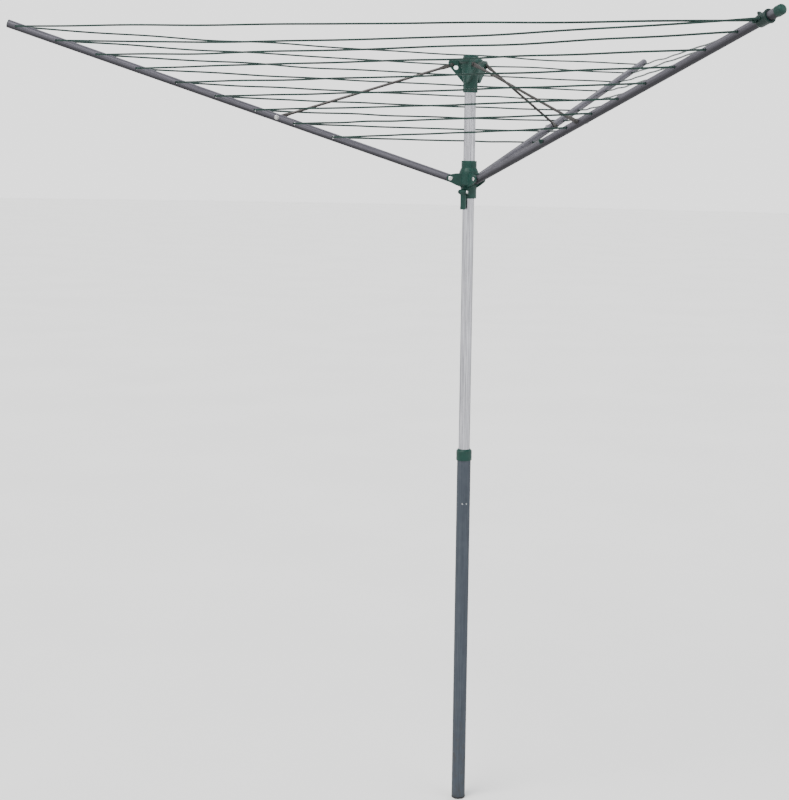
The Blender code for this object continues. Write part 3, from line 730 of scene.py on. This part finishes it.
def pieces():
    """Every fine piece of the object, on top of the CAD nodes that stay as they are."""
    carried_over()
    mast_tubes()
    moulded("top_hub", "green_plastic", 0.0005, 0.5)
    moulded("runner_hub", "green_plastic", 0.0005, 0.5)
    moulded("runner_lever", "green_plastic", 0.0004, 0.5)
    moulded("mast_collar", "green_plastic", 0.0004, 0.5)
    restyle(moulded("line_tensioner", "green_plastic", 0.0004, 0.5), CLAMP_PLASTIC)
    moulded("foot_plug", "black_plastic", 0.0006, 0.5)
    for key, turn in TURNS.items():
        arm_tube(key, turn)
        strut(key, turn)
        moulded("arm_tip_" + key, "green_plastic", 0.0003, 0.4)
        shade_strut_side_heads(moulded("arm_rivet_" + key, "pin_steel", 0.0003, 0.4), turn)
        restyle(moulded("hub_pin_" + key, "pin_steel", 0.0003, 0.5), AGED_ZINC_AND_SHADE)
        moulded("runner_pin_" + key, "pin_steel", 0.0003, 0.5)
    clothesline()


def studio_sky():
    """Surround that is bright and even at the height of the backdrop and dimmer overhead."""
    world = bpy.data.worlds.new("studio")
    world.use_nodes = True
    nodes, links = world.node_tree.nodes, world.node_tree.links
    coords = nodes.new("ShaderNodeTexCoord")
    split = nodes.new("ShaderNodeSeparateXYZ")
    ramp = nodes.new("ShaderNodeValToRGB")
    ramp.color_ramp.elements[0].position = 0.15
    ramp.color_ramp.elements[0].color = (1.0, 1.0, 1.0, 1.0)
    ramp.color_ramp.elements[1].position = 0.75
    ramp.color_ramp.elements[1].color = (0.22, 0.23, 0.25, 1.0)
    links.new(coords.outputs["Generated"], split.inputs["Vector"])
    links.new(split.outputs["Z"], ramp.inputs["Fac"])
    links.new(ramp.outputs["Color"], nodes["Background"].inputs["Color"])
    nodes["Background"].inputs["Strength"].default_value = 2.0
    bpy.context.scene.world = world


def soft_sun(name, towards, strength, colour):
    """Large distant soft light, so that the pale floor is lit evenly as far as it reaches."""
    data = bpy.data.lights.new(name, "SUN")
    data.angle = math.radians(40.0)
    data.energy = strength
    data.color = colour
    obj = bpy.data.objects.new(name, data)
    bpy.context.scene.collection.objects.link(obj)
    obj.rotation_euler = Vector(towards).to_track_quat("Z", "Y").to_euler()


def stage():
    """Wide pale floor just under the mast's foot, with the surround and three soft suns."""
    bm = bmesh.new()
    bmesh.ops.create_circle(bm, cap_ends=True, segments=96, radius=FLOOR_RADIUS)
    mesh = mesh_of("floor", bm)
    look = Surface("floor_pale", 0.85, 0.0)
    tone = look.noise(1.3, (1.0, 1.0, 1.0), 4.0, 0.5)
    colour = look.ramp(tone, [(0.3, (0.88, 0.88, 0.87)), (0.7, (0.92, 0.92, 0.91))])
    look.finish(colour, look.levels(tone, 0.3, 0.7, 0.80, 0.90), tone, 0.0005, 0.1)
    mesh.materials.append(look.mat)
    floor = bpy.data.objects.new("floor", mesh)
    bpy.context.scene.collection.objects.link(floor)
    floor.location.z = -FLOOR_GAP
    studio_sky()
    soft_sun("key", (0.55, 0.60, 1.0), 3.4, (1.0, 0.98, 0.95))
    soft_sun("fill", (-0.9, 0.7, 0.6), 1.1, (0.95, 0.97, 1.0))
    soft_sun("back", (-0.3, -0.9, 0.9), 1.0, (1.0, 1.0, 1.0))


def camera():
    """Camera at the height of the arms, a little to one side and leaning slightly, with a long lens."""
    yaw, pitch, roll = (math.radians(v) for v in (CAMERA_YAW, CAMERA_PITCH, CAMERA_ROLL))
    forward = Vector((math.sin(yaw) * math.cos(pitch), math.cos(yaw) * math.cos(pitch), math.sin(pitch)))
    right = Vector((math.cos(yaw), -math.sin(yaw), 0.0))
    up = right.cross(forward)
    rolled_right = right * math.cos(roll) + up * math.sin(roll)
    rolled_up = up * math.cos(roll) - right * math.sin(roll)
    data = bpy.data.cameras.new("camera")
    data.sensor_width = 36.0
    data.lens = CAMERA_LENS
    data.shift_x, data.shift_y = CAMERA_SHIFT
    obj = bpy.data.objects.new("camera", data)
    bpy.context.scene.collection.objects.link(obj)
    turn = Matrix((rolled_right, rolled_up, -forward)).transposed()
    obj.matrix_world = Matrix.Translation(CAMERA_PLACE) @ turn.to_4x4()
    bpy.context.scene.camera = obj


pieces()
stage()
camera()
